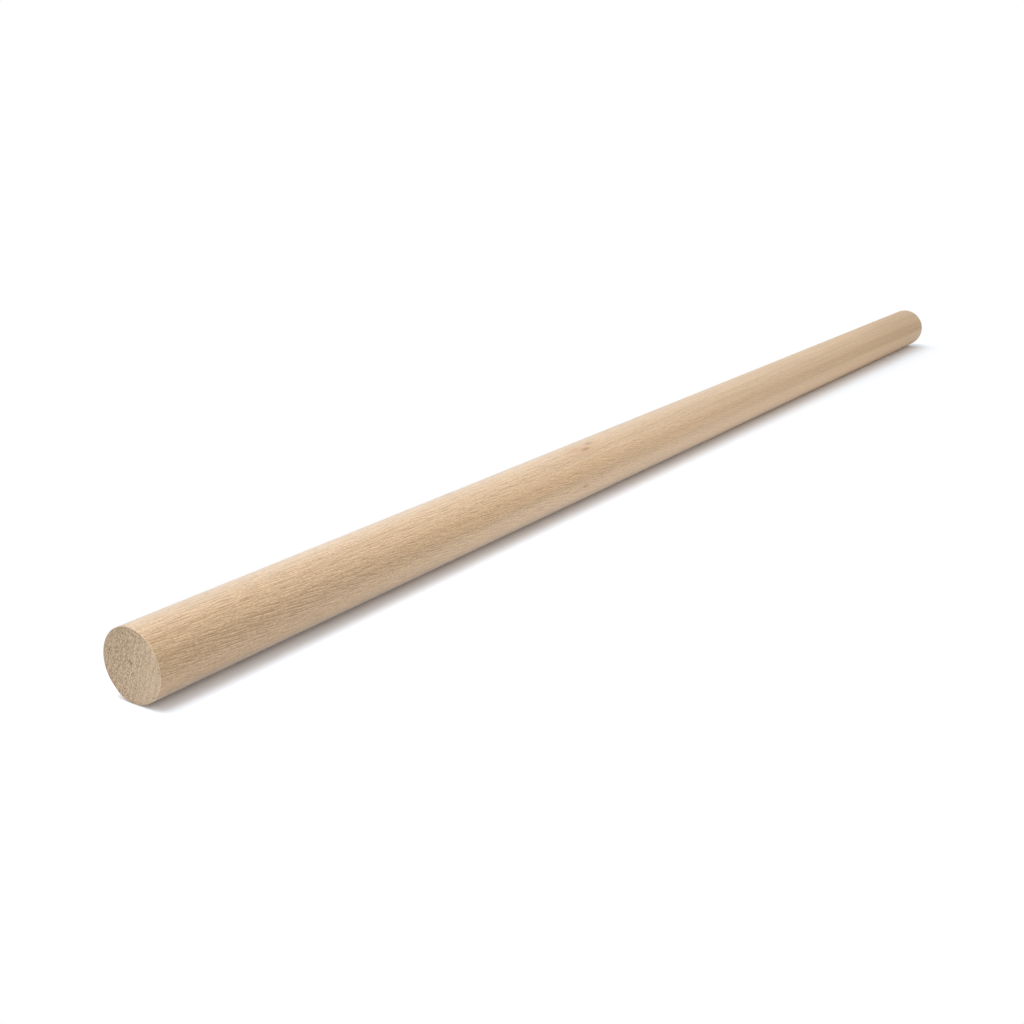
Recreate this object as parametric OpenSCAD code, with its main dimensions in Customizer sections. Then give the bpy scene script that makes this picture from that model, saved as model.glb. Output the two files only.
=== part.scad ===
// Plain round hardwood dowel rod, turned to one diameter and sawn square at both ends.
// It lies along X with the middle of its axis at the origin.

/* [Rod] */
// Diameter of the turned rod
rod_d = 35; // [12:0.5:60]
// Length from one sawn end to the other
rod_l = 1000; // [300:10:2400]

/* [Sawn ends] */
// Radius of the sanded edge round each sawn end
edge_r = 0.5; // [0.2:0.1:2]

/* [Hidden] */

// Fineness of the turned surfaces
$fn = 128;
// The rod's radius, and that of the flat part of each sawn end
rod_r = rod_d / 2;
flat_r = rod_r - edge_r;
// Half the length of the round wall between the two sanded edges
wall_half = rod_l / 2 - edge_r;

// The sanded corner between the round wall and one sawn end, in the rod's half section
module sanded_corner(end) {
    translate([flat_r, end * wall_half])
        circle(r = edge_r);
}

// Half of the rod's lengthwise section, with the axis at its inner edge
module half_section() {
    translate([0, -wall_half])
        square([rod_r, 2 * wall_half]);
    translate([0, -rod_l / 2])
        square([flat_r, rod_l]);
    for (end = [-1, 1])
        sanded_corner(end);
}

// The rod itself: the half section turned about its axis and laid along X
module dowel_rod() {
    color("burlywood")
        rotate([0, 90, 0])
            rotate_extrude()
                half_section();
}

dowel_rod();
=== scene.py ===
from math import atan2, cos, pi, radians, sin, tan

import bpy
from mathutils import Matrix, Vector


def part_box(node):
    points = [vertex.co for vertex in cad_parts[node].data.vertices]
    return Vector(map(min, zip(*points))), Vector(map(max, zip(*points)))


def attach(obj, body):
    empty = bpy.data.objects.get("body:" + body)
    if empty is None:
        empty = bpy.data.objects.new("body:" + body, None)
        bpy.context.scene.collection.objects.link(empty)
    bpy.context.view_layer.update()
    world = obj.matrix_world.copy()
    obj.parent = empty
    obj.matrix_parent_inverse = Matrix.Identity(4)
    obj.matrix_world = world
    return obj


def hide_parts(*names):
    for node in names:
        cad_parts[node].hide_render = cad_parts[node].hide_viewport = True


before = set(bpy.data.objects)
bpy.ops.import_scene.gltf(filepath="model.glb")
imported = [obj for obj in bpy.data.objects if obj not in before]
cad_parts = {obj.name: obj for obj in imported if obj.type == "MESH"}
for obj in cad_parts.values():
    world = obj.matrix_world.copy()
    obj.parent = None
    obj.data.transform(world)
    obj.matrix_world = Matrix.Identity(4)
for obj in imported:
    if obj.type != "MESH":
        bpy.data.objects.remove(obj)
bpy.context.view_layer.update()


# The dowel rod
# One length of pale, open-pored hardwood, turned to a plain round between rotary cutters and
# left without any finish. Both ends are crosscut square, and each sharp rim is sanded off.
rod_low, rod_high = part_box("dowel_rod")
rod_length = rod_high.x - rod_low.x
rod_radius = rod_high.z
sanded_edge = 0.0005
edge_segments = 5
edge_support = 0.00015
rod_sides = 160
end_grid = rod_sides // 4
wall_rows = 100
smooth_angle = radians(40)

bpy.ops.object.select_all(action="DESELECT")
bpy.ops.mesh.primitive_cylinder_add(
    vertices=rod_sides,
    radius=rod_radius,
    depth=rod_length,
    end_fill_type="NGON",
    rotation=(0, pi / 2, 0),
)
rod = bpy.context.object
rod.name = "turned_dowel_rod"
rod.data.name = rod.name
bpy.ops.object.transform_apply(location=False, rotation=True, scale=False)


def select_edges(piece, wanted):
    """Selects the edges whose two end points pass the test, ready for an edit operator."""
    bpy.ops.object.mode_set(mode="EDIT")
    bpy.ops.mesh.select_mode(type="EDGE")
    bpy.ops.mesh.select_all(action="DESELECT")
    bpy.ops.object.mode_set(mode="OBJECT")
    mesh = piece.data
    for edge in mesh.edges:
        ends = [mesh.vertices[i].co for i in edge.vertices]
        edge.select = wanted(*ends)
    bpy.ops.object.mode_set(mode="EDIT")


def select_faces(piece, wanted):
    """Selects the faces that pass the test, ready for an edit operator."""
    bpy.ops.object.mode_set(mode="EDIT")
    bpy.ops.mesh.select_mode(type="FACE")
    bpy.ops.mesh.select_all(action="DESELECT")
    bpy.ops.object.mode_set(mode="OBJECT")
    for face in piece.data.polygons:
        face.select = wanted(face)
    bpy.ops.object.mode_set(mode="EDIT")


def at_end(co):
    """True for a point on either sawn end."""
    return abs(abs(co.x) - rod_length / 2) < edge_support / 2


# The sharp rims, sanded to a small round, with a narrow flat ring inside each that keeps the face flat
select_edges(rod, lambda a, b: at_end(a) and at_end(b) and a.x * b.x > 0)
bpy.ops.mesh.bevel(
    offset=sanded_edge, offset_type="OFFSET", segments=edge_segments, profile=0.5, affect="EDGES"
)
select_faces(rod, lambda face: len(face.vertices) == rod_sides)
bpy.ops.mesh.inset(thickness=edge_support)
bpy.ops.mesh.delete(type="FACE")

# The sawn faces, each filled with a grid of small squares
inner_radius = rod_radius - sanded_edge - edge_support / 2
for end in (-1, 1):
    select_edges(
        rod,
        lambda a, b: a.x * end > 0
        and at_end(a)
        and at_end(b)
        and max(a.yz.length, b.yz.length) < inner_radius,
    )
    bpy.ops.mesh.fill_grid(span=end_grid, use_interp_simple=True)

# The long wall, cut into rows so that no face is long and thin
select_edges(rod, lambda a, b: abs(a.x - b.x) > rod_length / 2)
bpy.ops.mesh.subdivide(number_cuts=wall_rows - 1)
bpy.ops.mesh.select_all(action="SELECT")
bpy.ops.mesh.normals_make_consistent(inside=False)
bpy.ops.object.mode_set(mode="OBJECT")
bpy.ops.object.shade_smooth_by_angle(angle=smooth_angle)

# The surface laid flat: the wall opened along its underside, and the two ends side by side above it
full_turn = 2 * pi
end_tilt = radians(45)
wall_margin = 0.002
wall_foot = 0.004
wall_share = 0.64
end_share = 0.165
end_height = 0.825
near_end_across, far_end_across = 0.25, 0.75
flat = rod.data.uv_layers.new(name="OFBake")
for face in rod.data.polygons:
    middle = face.center
    on_end = abs(face.normal.x) > cos(end_tilt)
    turn = atan2(-middle.y, middle.z)
    for loop in face.loop_indices:
        co = rod.data.vertices[rod.data.loops[loop].vertex_index].co
        if on_end:
            end_across = near_end_across if co.x < 0 else far_end_across
            across = end_across + co.y / rod_radius * end_share
            up = end_height + co.z / rod_radius * end_share
        else:
            angle = atan2(-co.y, co.z)
            angle -= round((angle - turn) / full_turn) * full_turn
            across = wall_margin + (1 - 2 * wall_margin) * (co.x / rod_length + 0.5)
            up = wall_foot + wall_share * (angle / full_turn + 0.5)
        flat.data[loop].uv = (across, up)


def add_node(tree, kind, **settings):
    """A new node with its settings."""
    node = tree.nodes.new(kind)
    for name, value in settings.items():
        setattr(node, name, value)
    return node


def feed(tree, socket, source):
    """Links a socket to another's output, or sets its own value."""
    if isinstance(source, bpy.types.NodeSocket):
        tree.links.new(source, socket)
    else:
        socket.default_value = source


def maths(tree, operation, *terms):
    """One sum on numbers."""
    node = add_node(tree, "ShaderNodeMath", operation=operation)
    for socket, term in zip(node.inputs, terms):
        feed(tree, socket, term)
    return node.outputs["Value"]


def vector_maths(tree, operation, a, b=None, scale=None):
    """One sum on places or directions."""
    node = add_node(tree, "ShaderNodeVectorMath", operation=operation)
    feed(tree, node.inputs[0], a)
    if b is not None:
        feed(tree, node.inputs[1], b)
    if scale is not None:
        feed(tree, node.inputs["Scale"], scale)
    return node.outputs["Value" if operation in ("DOT_PRODUCT", "LENGTH", "DISTANCE") else "Vector"]


def split(tree, vector):
    """The X, Y and Z of a place or direction."""
    node = add_node(tree, "ShaderNodeSeparateXYZ")
    feed(tree, node.inputs["Vector"], vector)
    return node.outputs


def fade(tree, value, start, stop, low=0.0, high=1.0):
    """A smooth step from low to high as value goes from start to stop."""
    node = add_node(tree, "ShaderNodeMapRange", interpolation_type="SMOOTHSTEP")
    for name, term in (
        ("Value", value),
        ("From Min", start),
        ("From Max", stop),
        ("To Min", low),
        ("To Max", high),
    ):
        feed(tree, node.inputs[name], term)
    return node.outputs["Result"]


def add_shares(tree, total, *shares):
    """A value with each mask's share added to it."""
    for mask, share in shares:
        total = maths(tree, "MULTIPLY_ADD", mask, share, total)
    return total


def blend_colour(tree, factor, a, b, blend="MIX"):
    """Colour a, turned into b or multiplied by it as far as the factor says."""
    node = add_node(tree, "ShaderNodeMix", data_type="RGBA", blend_type=blend, clamp_factor=True)
    for name, term in (("Factor_Float", factor), ("A_Color", a), ("B_Color", b)):
        feed(tree, next(s for s in node.inputs if s.identifier == name), term)
    return next(s for s in node.outputs if s.identifier == "Result_Color")


def noise(tree, vector, scale=1.0, detail=2.0, roughness=0.5, dimensions="3D"):
    """Smooth random values from 0 to 1."""
    node = add_node(tree, "ShaderNodeTexNoise", noise_dimensions=dimensions)
    for name, term in (("Vector", vector), ("Scale", scale), ("Detail", detail), ("Roughness", roughness)):
        feed(tree, node.inputs[name], term)
    return node.outputs["Fac"]


# The wood's own directions, in the rod's frame and in mm: the rings face ring_turn round from the top and
# their middle lies pith_distance behind; the fibres lean across the rings and wind slowly round the axis
mm_per_metre = 1000.0
half_length = rod_length / 2 * mm_per_metre
radius = rod_radius * mm_per_metre
ring_turn = radians(110)
pith_distance = 120.0
ring_width = 3.2
fibre_lean = radians(5)
fibre_wind = radians(1)
radial = Vector((0, -sin(ring_turn), cos(ring_turn)))
tangent = Vector((1, 0, 0)).cross(radial)
fibre = Vector((cos(fibre_lean), 0, 0)) + tangent * sin(fibre_lean)
cross_fibre = tangent * cos(fibre_lean) - Vector((sin(fibre_lean), 0, 0))

pale_wood = (0.79, 0.560, 0.340, 1)
deep_wood = (0.393, 0.246, 0.118, 1)
far_tint = (1.0, 0.962, 0.885, 1)
band_tint = (1.0, 0.955, 0.86, 1)
bounce_warm_tint = (1.0, 0.97, 0.90, 1)
pore_brown = (0.30, 0.18, 0.09, 1)
torn_brown = (0.15, 0.10, 0.06, 1)
rim_pale = (0.84, 0.68, 0.50, 1)
rim_shade_brown = (0.36, 0.27, 0.18, 1)
end_grey = (0.72, 0.560, 0.390, 1)
end_brown = (0.33, 0.215, 0.12, 1)
knot_orange = (0.60, 0.35, 0.16, 1)
knot_brown = (0.33, 0.165, 0.055, 1)

wood = bpy.data.materials.new("pale_hardwood")
wood.use_nodes = True
tree = wood.node_tree
tree.nodes.clear()
rod_place = add_node(tree, "ShaderNodeTexCoord").outputs["Object"]
place = vector_maths(tree, "SCALE", rod_place, scale=mm_per_metre)
along_rod = split(tree, place)["X"]
end_reach = maths(tree, "ABSOLUTE", along_rod)

# Pin knots, where thin twigs grew through: a dark core in a warm patch, and fibres that part round it
pin_knots = (
    # along the rod, turn from the top, reach, core, patch
    (-135.0, radians(12), 3.0, 0.95, 0.55),
    (-144.0, radians(24), 3.4, 0.90, 0.55),
    (-153.0, radians(15), 3.2, 0.30, 0.80),
    (-146.0, radians(61), 3.0, 0.10, 0.15),
    (-160.0, radians(98), 2.6, 0.70, 0.25),
)
knot_squash = 0.25
core_edge = (0.55, 0.05)
patch_edge = (1.7, 0.2)
parting_edge = (1.7, 0.0)
parting = 0.45
knot_core = 0.0
knot_patch = 0.0
bent_place = place
for knot_x, knot_turn, reach, core, patch in pin_knots:
    centre = Vector((knot_x, -sin(knot_turn) * radius, cos(knot_turn) * radius))
    offset = vector_maths(tree, "SUBTRACT", place, tuple(centre))
    squeezed = vector_maths(tree, "MULTIPLY", offset, (knot_squash / reach, 1 / reach, 1 / reach))
    distance = vector_maths(tree, "LENGTH", squeezed)
    knot_core = maths(tree, "MAXIMUM", knot_core, fade(tree, distance, *core_edge, high=core))
    knot_patch = maths(tree, "MAXIMUM", knot_patch, fade(tree, distance, *patch_edge, high=patch))
    pull = fade(tree, distance, *parting_edge, high=parting)
    sideways = vector_maths(tree, "MULTIPLY", offset, (0, 1, 1))
    pulled = vector_maths(tree, "SCALE", sideways, scale=pull)
    bent_place = vector_maths(tree, "SUBTRACT", bent_place, pulled)

# Ways through the wood: straight along the rod, along the leaning fibres, and round the wall
outward = vector_maths(tree, "DOT_PRODUCT", bent_place, tuple(radial))
ring_aside = vector_maths(tree, "DOT_PRODUCT", bent_place, tuple(tangent))
straight = (along_rod, outward, ring_aside)
wound = add_node(tree, "ShaderNodeVectorRotate", rotation_type="X_AXIS")
feed(tree, wound.inputs["Vector"], bent_place)
feed(tree, wound.inputs["Angle"], maths(tree, "MULTIPLY", along_rod, -tan(fibre_wind) / radius))
leaning = [
    vector_maths(tree, "DOT_PRODUCT", wound.outputs["Vector"], tuple(axis))
    for axis in (fibre, radial, cross_fibre)
]
bent = split(tree, bent_place)
turn_round = maths(tree, "ARCTAN2", maths(tree, "MULTIPLY", bent["Y"], -1.0), bent["Z"])
round_wall = maths(tree, "MULTIPLY", turn_round, radius)


def wall(tree, slope):
    """The way along the wall and the way round it, for lines that climb at this slope."""
    return (along_rod, maths(tree, "MULTIPLY_ADD", along_rod, -tan(slope), round_wall))


def grain_space(tree, axes, length, width, depth=None):
    """Wood coordinates in which one unit is this long along the first axis and this wide across it."""
    node = add_node(tree, "ShaderNodeCombineXYZ")
    for socket, term, size in zip(node.inputs, axes, (length, width, depth or width)):
        feed(tree, socket, maths(tree, "MULTIPLY", term, 1 / size))
    return node.outputs["Vector"]


def marks(tree, axes, size, softness, **settings):
    """Random marks of this size from 0 to 1, with edges as soft as asked."""
    spread = noise(tree, grain_space(tree, axes, *size), **settings)
    return fade(tree, spread, 0.5 - softness, 0.5 + softness)


# Growth rings: soft bands, darker where the spring wood is open
wander_size = (140.0, 14.0)
ring_wander = 1.6
spring_edge = (-0.4, 0.9)
ring_reach = maths(tree, "ADD", outward, pith_distance)
ring_square = maths(tree, "MULTIPLY_ADD", ring_aside, ring_aside, maths(tree, "POWER", ring_reach, 2.0))
ring_radius = maths(tree, "SQRT", ring_square)
wander = noise(tree, grain_space(tree, straight, *wander_size), detail=2.0)
ring_count = maths(tree, "MULTIPLY", wander, ring_wander)
ring_count = maths(tree, "MULTIPLY_ADD", ring_radius, 1 / ring_width, ring_count)
ring_wave = maths(tree, "SINE", maths(tree, "MULTIPLY", ring_count, full_turn))
spring_wood = fade(tree, ring_wave, *spring_edge)


def pore_field(tree, size, thick, share_open):
    """Open pores: short tubes along the fibres, dark dots where a cut crosses them."""
    thick_spread = 0.6
    pore_edge = (-0.03, 0.10)
    cells = add_node(tree, "ShaderNodeTexVoronoi", voronoi_dimensions="3D", feature="F1")
    feed(tree, cells.inputs["Vector"], grain_space(tree, leaning, *size))
    feed(tree, cells.inputs["Scale"], 1.0)
    draw = add_node(tree, "ShaderNodeSeparateColor")
    feed(tree, draw.inputs["Color"], cells.outputs["Color"])
    limit = add_shares(tree, thick * (1 - thick_spread), (draw.outputs["Green"], thick * thick_spread))
    inside = maths(tree, "SUBTRACT", limit, cells.outputs["Distance"])
    tube = fade(tree, inside, *pore_edge)
    chosen = maths(tree, "LESS_THAN", draw.outputs["Red"], share_open)
    return maths(tree, "MULTIPLY", tube, chosen)


coarse_pore = (10.0, 0.75)
coarse_thick = 0.40
coarse_share, spring_share = 0.55, 0.35
fine_pore = (8.0, 0.45)
fine_thick = 0.45
fine_share = 0.9
open_share = add_shares(tree, coarse_share, (spring_wood, spring_share))
coarse_pores = pore_field(tree, coarse_pore, coarse_thick, open_share)
fine_pores = pore_field(tree, fine_pore, fine_thick, fine_share)


def grooves(tree, slope, size):
    """Fibre lines on the wall, one to a cell: a thin dark cut with a pale lip beside it."""
    groove_edge = (0.52, 0.15)
    cut_edge = (0.24, 0.04)
    lip_middle = 0.36
    lip_edge = (0.26, 0.04)
    lip_strength = 0.75
    strength_spread = 0.7
    spot = grain_space(tree, wall(tree, slope), *size)
    cells = add_node(tree, "ShaderNodeTexVoronoi", voronoi_dimensions="2D", feature="F1")
    feed(tree, cells.inputs["Vector"], spot)
    feed(tree, cells.inputs["Scale"], 1.0)
    draw = add_node(tree, "ShaderNodeSeparateColor")
    feed(tree, draw.inputs["Color"], cells.outputs["Color"])
    off = split(tree, vector_maths(tree, "SUBTRACT", spot, cells.outputs["Position"]))
    reach = fade(tree, maths(tree, "ABSOLUTE", off["X"]), *groove_edge)
    cut = fade(tree, maths(tree, "ABSOLUTE", off["Y"]), *cut_edge)
    off_lip = maths(tree, "ABSOLUTE", maths(tree, "SUBTRACT", off["Y"], lip_middle))
    line = add_shares(tree, cut, (fade(tree, off_lip, *lip_edge), -lip_strength))
    strength = add_shares(tree, 1 - strength_spread, (draw.outputs["Red"], strength_spread))
    return maths(tree, "MULTIPLY", maths(tree, "MULTIPLY", line, reach), strength)


# Fibre lines climb a little more steeply on the front than on the top, with shorter ones and specks between
front_edge = (radians(35), radians(70))
top_slope = radians(2)
front_slope = radians(6.5)
comb_slope = radians(4.5)
long_groove = (13.0, 1.5)
short_groove = (7.0, 1.1)
comb_line = (9.0, 0.55)
speck = (1.8, 0.55)
flat_marks = {"detail": 1.0, "roughness": 0.6, "dimensions": "2D"}
on_front = fade(tree, turn_round, *front_edge)
on_top = maths(tree, "SUBTRACT", 1.0, on_front)
long_grooves = maths(tree, "MULTIPLY", grooves(tree, top_slope, long_groove), on_top)
long_grooves = add_shares(tree, long_grooves, (grooves(tree, front_slope, long_groove), on_front))
short_grooves = grooves(tree, comb_slope, short_groove)
comb_lines = marks(tree, wall(tree, comb_slope), comb_line, softness=0.12, **flat_marks)
specks = marks(tree, wall(tree, comb_slope), speck, softness=0.15, **flat_marks)

# Broader marks that run straight along the rod
long_line = (60.0, 1.4)
streak = (240.0, 4.0)
cloud = (400.0, 10.0)
long_lines = marks(tree, straight, long_line, softness=0.18, detail=1.0)
streaks = marks(tree, straight, streak, softness=0.20, detail=1.0)
clouds = marks(tree, straight, cloud, softness=0.25, detail=2.0)

# Places along the rod, from -1 at the near end to 1 at the far end, where its look changes: the near half
# has open, dark pores and the far half is smoother and warmer, while painted shade darkens the near half and
# both ends
near_half_edge = (-0.2, -0.7)
far_wood_edge = (-0.84, -0.5)
warm_edge = (-0.9, 0.1)
ends_shade_edge = (0.52, 1.0)
open_edge = (0.6, -0.5)
least_open = 0.30
band_edge = (-0.4, -0.9)
least_band = 0.2
near_shade_depth, far_shade_depth = 0.25, 0.05
along = maths(tree, "MULTIPLY", along_rod, 1 / half_length)
near_half = fade(tree, along, *near_half_edge)
far_wood = fade(tree, along, *far_wood_edge)
# Painted shade: the colour darkens towards both ends
ends_painted_shade = fade(tree, maths(tree, "ABSOLUTE", along), *ends_shade_edge)
open_grain = fade(tree, along, *open_edge, low=least_open)
banded = fade(tree, along, *band_edge, low=1.0, high=least_band)
# Painted shade: the colour deepens towards the near end, where the soft box lights the rod more strongly
near_painted_shade = fade(tree, along, 1.0, -1.0, far_shade_depth, near_shade_depth)

# A darker band runs along the front, with a paler one below it in the far half, and the band is warmer;
# painted shade darkens the crown beyond the near end, and painted warm bounce light tints the wood low on
# the near half
dark_start, dark_stop = (9.0, 13.4), (17.2, 15.4)
pale_start = (15.0, 17.2)
pale_from, pale_until = (-0.5, 0.0), (0.94, 0.5)
least_pale = 0.4
band_start, band_stop = (7.0, 11.5), (17.3, 14.5)
crown_shade_edge = (radians(15), radians(-15))
low_bounce_edge = (radians(100), radians(130))
dark_zone = maths(tree, "MAXIMUM", fade(tree, outward, *dark_stop), near_half)
dark_zone = maths(tree, "MULTIPLY", fade(tree, outward, *dark_start), dark_zone)
pale_zone = maths(tree, "MULTIPLY", fade(tree, outward, *pale_start), fade(tree, along, *pale_from))
pale_zone = maths(tree, "MULTIPLY", pale_zone, fade(tree, along, *pale_until, low=least_pale))
warm_band = maths(tree, "MULTIPLY", fade(tree, outward, *band_start), fade(tree, outward, *band_stop))
warm_band = maths(tree, "MULTIPLY", warm_band, far_wood)
# Painted shade: the top of the rod is darker beyond the near end
crown_painted_shade = maths(tree, "MULTIPLY", fade(tree, turn_round, *crown_shade_edge), far_wood)
# Painted bounce light: a warm tint on the underside of the near half
low_painted_bounce = maths(tree, "MULTIPLY", fade(tree, turn_round, *low_bounce_edge), near_half)

# Side grain: how deep the colour is, from all the lines, marks and zones
line_level = -0.315
band_level = -0.16
cloud_share, streak_share = 0.18, 0.14
side_level = 0.145
side_strength = 0.71
long_line_share, top_line_share = 0.05, 0.14
coarse_on_side, fine_on_side = 0.05, 0.15
lines = add_shares(
    tree,
    line_level,
    # mask, how strongly it shows
    (comb_lines, 0.25),
    (specks, 0.44),
    (long_grooves, 0.64),
    (short_grooves, 0.58),
)
long_strength = add_shares(tree, long_line_share, (on_top, top_line_share))
bands = add_shares(tree, band_level, (clouds, cloud_share), (streaks, streak_share))
depth = add_shares(
    tree,
    maths(tree, "ADD", near_painted_shade, side_level),
    # mask, how much deeper it makes the wood
    (lines, open_grain),
    (maths(tree, "SUBTRACT", long_lines, 0.5), long_strength),
    (bands, banded),
    (spring_wood, 0.08),
    (dark_zone, 0.24),
    (pale_zone, -0.14),
    # near half, ends and crown: painted shade
    (near_half, 0.08),
    (ends_painted_shade, 0.25),
    (crown_painted_shade, 0.12),
)
side_colour = blend_colour(tree, maths(tree, "MULTIPLY", depth, side_strength), pale_wood, deep_wood)
side_pores = add_shares(tree, 0.0, (coarse_pores, coarse_on_side), (fine_pores, fine_on_side))
side_pores = maths(tree, "MULTIPLY", side_pores, open_grain)
side_colour = blend_colour(tree, side_pores, side_colour, pore_brown)
side_colour = blend_colour(tree, warm_band, side_colour, band_tint, "MULTIPLY")
side_colour = blend_colour(tree, fade(tree, along, *warm_edge), side_colour, far_tint, "MULTIPLY")
side_colour = blend_colour(tree, low_painted_bounce, side_colour, bounce_warm_tint, "MULTIPLY")

# End grain, browner towards the heart of the tree and smoother towards the bark
heart_edge = (16.0, -12.0)
smooth_edge = (1.0, 9.0)
end_speckle = (0.8, 0.85, 1.2)
mottle_scale = 0.24
mottle_edge = (0.30, 0.70)
speckle_level = 0.50
smooth_speckle, mottle_speckle = -0.30, 0.40
end_level = 0.16
coarse_on_end, fine_on_end = 0.70, 0.20
heart_side = fade(tree, outward, *heart_edge)
smooth_side = fade(tree, outward, *smooth_edge)
speckle = marks(tree, straight, end_speckle, softness=0.12, detail=2.0, roughness=0.7)
mottle = fade(tree, noise(tree, place, scale=mottle_scale, detail=2.0), *mottle_edge)
speckle_strength = add_shares(tree, speckle_level, (smooth_side, smooth_speckle), (mottle, mottle_speckle))
end_depth = add_shares(
    tree,
    end_level,
    # mask, how much browner it makes the end
    (maths(tree, "SUBTRACT", speckle, 0.5), speckle_strength),
    (mottle, 0.18),
    (spring_wood, 0.14),
    (heart_side, 0.32),
)
end_colour = blend_colour(tree, end_depth, end_grey, end_brown)
end_pores = add_shares(tree, 0.0, (coarse_pores, coarse_on_end), (fine_pores, fine_on_end))
end_colour = blend_colour(tree, end_pores, end_colour, pore_brown)

# A few wide pores torn open by the saw near the middle of the near end
torn_pores = (
    # across and up from the axis, reach
    (0.6, 2.1, 0.75),
    (-0.4, 1.3, 0.75),
    (6.2, 3.3, 0.55),
    (12.7, 4.6, 0.60),
    (7.8, -2.0, 0.55),
    (-0.5, -3.3, 0.55),
    (3.0, 10.7, 0.50),
    (5.8, 9.5, 0.50),
)
torn_core = 0.4
torn_strength = 0.9
torn = 0.0
for pore_y, pore_z, reach in torn_pores:
    away = vector_maths(tree, "DISTANCE", place, (-half_length, pore_y, pore_z))
    torn = maths(tree, "MAXIMUM", torn, fade(tree, away, reach, reach * torn_core))
end_colour = blend_colour(tree, maths(tree, "MULTIPLY", torn, torn_strength), end_colour, torn_brown)

# The sanded rim, paler on the bark side and browner on the heart side, where the brown is partly the heart
# side's own tone and partly painted shade, and a thin line of painted shade on the sawn face just inside the
# rim along its heart side
rim_shade_edge = (radius - 1.3, radius - 0.3)
rim_shade_side = (4.0, -9.0)
rim_shade_strength = 0.6
rim_edge = (half_length - 0.65, half_length - 0.4)
rim_strength = 0.6
end_edge = (half_length - 0.45, half_length - 0.1)
from_axis = vector_maths(tree, "LENGTH", vector_maths(tree, "MULTIPLY", place, (0, 1, 1)))
rim_painted_shade = maths(tree, "MULTIPLY", fade(tree, from_axis, *rim_shade_edge), fade(tree, outward, *rim_shade_side))
end_colour = blend_colour(tree, maths(tree, "MULTIPLY", rim_painted_shade, rim_shade_strength), end_colour, rim_shade_brown)
rim = fade(tree, end_reach, *rim_edge, high=rim_strength)
rim_colour = blend_colour(tree, heart_side, rim_pale, rim_shade_brown)
side_colour = blend_colour(tree, rim, side_colour, rim_colour)
end_mask = fade(tree, end_reach, *end_edge)
wall_mask = maths(tree, "SUBTRACT", 1.0, end_mask)
colour = blend_colour(tree, end_mask, side_colour, end_colour)
colour = blend_colour(tree, knot_patch, colour, knot_orange)
colour = blend_colour(tree, knot_core, colour, knot_brown)

# Open pores and fibre lines give the surface its tooth, and loose fibres a soft bloom at a low angle, most
# of it in the near half
tooth_strength = 0.6
tooth_depth = 0.00006
wood_rough, groove_rough, end_rough = 0.5, 0.15, 0.2
wood_shine = 0.8
bloom_edge = (0.9, -0.5)
far_bloom, near_bloom = 0.12, 0.95
bloom_off_end = 0.8
bloom_softness = 0.4
groove_lines = maths(tree, "MULTIPLY", maths(tree, "ADD", long_grooves, short_grooves), wall_mask)
end_speckles = maths(tree, "MULTIPLY", speckle, end_mask)
height = add_shares(
    tree,
    0.0,
    # mask, how far it stands up, or sinks where it is below zero
    (groove_lines, -0.6),
    (coarse_pores, -1.0),
    (fine_pores, -0.4),
    (end_speckles, 0.6),
)
bump = add_node(tree, "ShaderNodeBump")
bump.inputs["Strength"].default_value = tooth_strength
bump.inputs["Distance"].default_value = tooth_depth
feed(tree, bump.inputs["Height"], height)
roughness = add_shares(tree, wood_rough, (groove_lines, groove_rough), (end_mask, end_rough))
bloom = fade(tree, along, *bloom_edge, far_bloom, near_bloom)
bloom = maths(tree, "MULTIPLY", bloom, add_shares(tree, 1.0, (end_mask, -bloom_off_end)))

surface = add_node(tree, "ShaderNodeBsdfPrincipled")
surface.inputs["Specular IOR Level"].default_value = wood_shine
surface.inputs["Sheen Roughness"].default_value = bloom_softness
feed(tree, surface.inputs["Sheen Weight"], bloom)
feed(tree, surface.inputs["Base Color"], colour)
feed(tree, surface.inputs["Roughness"], roughness)
feed(tree, surface.inputs["Normal"], bump.outputs["Normal"])
feed(tree, add_node(tree, "ShaderNodeOutputMaterial").inputs["Surface"], surface.outputs["BSDF"])

rod.data.materials.append(wood)
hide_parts("dowel_rod")
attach(rod, "root")


# The white sweep
# A wide sheet of matt white board, laid flat, that the rod lies on. It has one plain colour, takes
# the rod's shadow, and shows as plain white a little way off the rod.
sweep_size = 12.0
sweep_squares = 8
sweep_white = (0.94, 0.93, 0.91, 1)
seen_white = (1.20, 1.28, 1.39, 1)
plain_from, plain_by = 0.018, 0.042
end_hurry = 2.5

bpy.ops.object.select_all(action="DESELECT")
bpy.ops.mesh.primitive_grid_add(
    x_subdivisions=sweep_squares,
    y_subdivisions=sweep_squares,
    size=sweep_size,
    location=(0, 0, rod_low.z),
)
sweep = bpy.context.object
sweep.name = "white_sweep"
bpy.ops.object.transform_apply(location=True, rotation=False, scale=False)


def seen_directly(tree):
    """1 for rays that come from the eye, a mirror or glass, and 0 for those that carry light."""
    path = add_node(tree, "ShaderNodeLightPath")
    seen = maths(tree, "MAXIMUM", path.outputs["Is Camera Ray"], path.outputs["Is Glossy Ray"])
    return maths(tree, "MAXIMUM", seen, path.outputs["Is Transmission Ray"])


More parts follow.
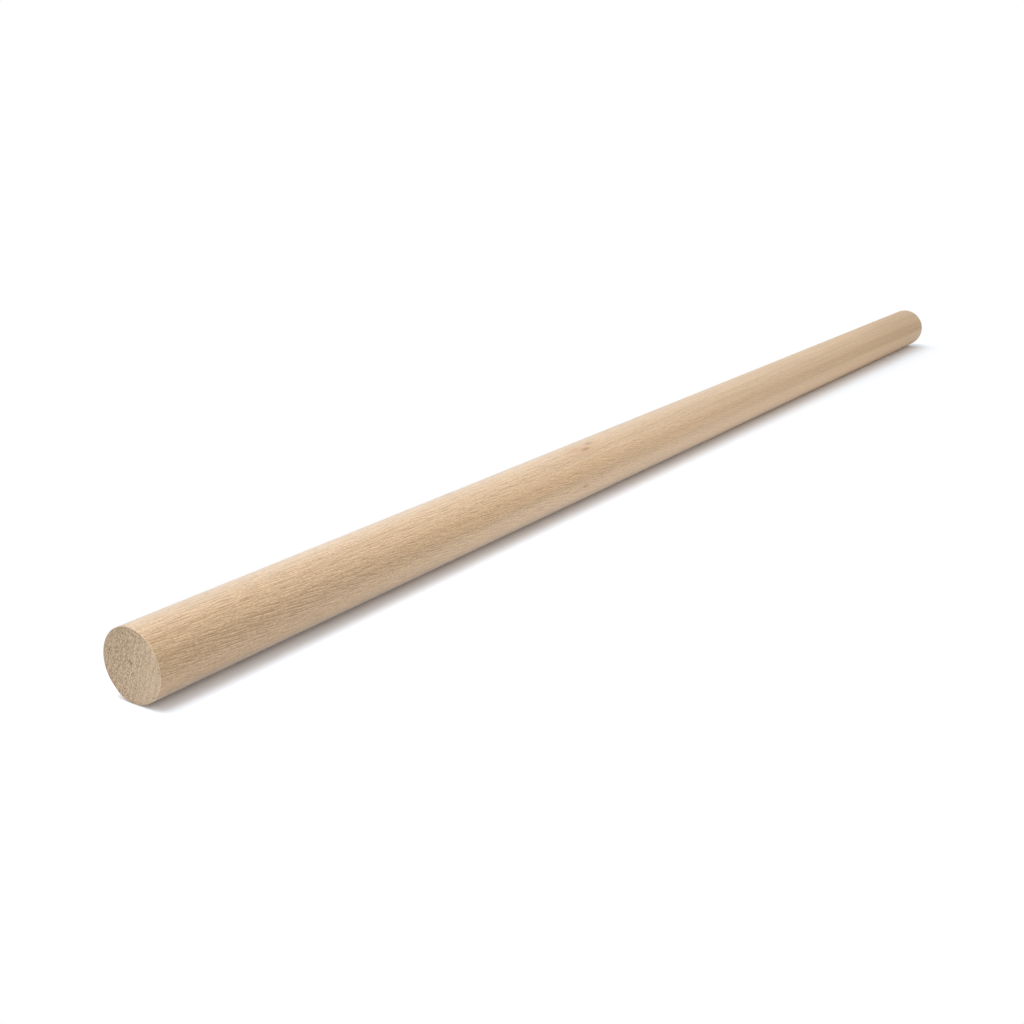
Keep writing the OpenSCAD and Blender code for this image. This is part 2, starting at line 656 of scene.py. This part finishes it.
board = bpy.data.materials.new("matt_white_board")
board.use_nodes = True
tree = board.node_tree
tree.nodes.clear()
spot = split(tree, add_node(tree, "ShaderNodeTexCoord").outputs["Object"])
past_end = maths(tree, "SUBTRACT", maths(tree, "ABSOLUTE", spot["X"]), rod_length / 2)
past_end = maths(tree, "MULTIPLY", maths(tree, "MAXIMUM", past_end, 0.0), end_hurry)
off_square = maths(tree, "MULTIPLY_ADD", spot["Y"], spot["Y"], maths(tree, "POWER", past_end, 2.0))
off_rod = maths(tree, "SQRT", off_square)
seen = seen_directly(tree)
matt = add_node(tree, "ShaderNodeBsdfDiffuse")
feed(tree, matt.inputs["Color"], blend_colour(tree, seen, sweep_white, seen_white))
plain = add_node(tree, "ShaderNodeEmission")
finish = add_node(tree, "ShaderNodeMixShader")
feed(tree, finish.inputs["Fac"], maths(tree, "MULTIPLY", seen, fade(tree, off_rod, plain_from, plain_by)))
feed(tree, finish.inputs[1], matt.outputs["BSDF"])
feed(tree, finish.inputs[2], plain.outputs["Emission"])
feed(tree, add_node(tree, "ShaderNodeOutputMaterial").inputs["Surface"], finish.outputs["Shader"])
sweep.data.materials.append(board)


# Studio light
# A soft box above the near half of the rod, a longer strip box behind it, and a white room all
# round. The room shows as plain white and gives an even, softer light.
room_level = 0.59
room_white = (1, 1, 1, 1)
box_size = (0.7, 0.5)
box_power = 4.4
box_place = Vector((-0.45, 0.12, 0.75))
box_aim = Vector((-0.30, 0.0, 0.0))
strip_size = (1.2, 0.4)
strip_power = 2.2
strip_place = Vector((0.05, 0.80, 0.50))
strip_aim = Vector((-0.15, 0.0, 0.0))

room = bpy.data.worlds.new("white_room")
bpy.context.scene.world = room
room.use_nodes = True
tree = room.node_tree
tree.nodes.clear()
lighting = add_node(tree, "ShaderNodeBackground")
lighting.inputs["Color"].default_value = room_white
lighting.inputs["Strength"].default_value = room_level
white = add_node(tree, "ShaderNodeBackground")
white.inputs["Color"].default_value = room_white
shown = add_node(tree, "ShaderNodeMixShader")
feed(tree, shown.inputs["Fac"], seen_directly(tree))
feed(tree, shown.inputs[1], lighting.outputs["Background"])
feed(tree, shown.inputs[2], white.outputs["Background"])
feed(tree, add_node(tree, "ShaderNodeOutputWorld").inputs["Surface"], shown.outputs["Shader"])


def add_soft_box(name, place, aim, size, power):
    """A rectangular lamp behind cloth, turned towards what it lights."""
    bpy.ops.object.light_add(type="AREA", location=place)
    lamp = bpy.context.object
    lamp.name = name
    lamp.data.shape = "RECTANGLE"
    lamp.data.size, lamp.data.size_y = size
    lamp.data.energy = power
    lamp.rotation_euler = (aim - place).to_track_quat("-Z", "Y").to_euler()


add_soft_box("soft_box", box_place, box_aim, box_size, box_power)
add_soft_box("strip_box", strip_place, strip_aim, strip_size, strip_power)


# Camera
# It stands low beyond the near end, on the side the light doesn't come from, and looks along the rod.
camera_place = Vector((-0.8284, -0.4130, 0.2281))
camera_aim = Vector((-0.2155, 0.0, -0.0077))
camera_lens = 46.23
camera_sensor = 36.0
camera_nearest = 0.01

bpy.ops.object.camera_add(location=camera_place)
camera = bpy.context.object
camera.name = "photo_camera"
camera.data.lens = camera_lens
camera.data.sensor_width = camera_sensor
camera.data.clip_start = camera_nearest
camera.rotation_euler = (camera_aim - camera_place).to_track_quat("-Z", "Y").to_euler()
bpy.context.scene.camera = camera
bpy.context.scene.view_settings.view_transform = "Standard"
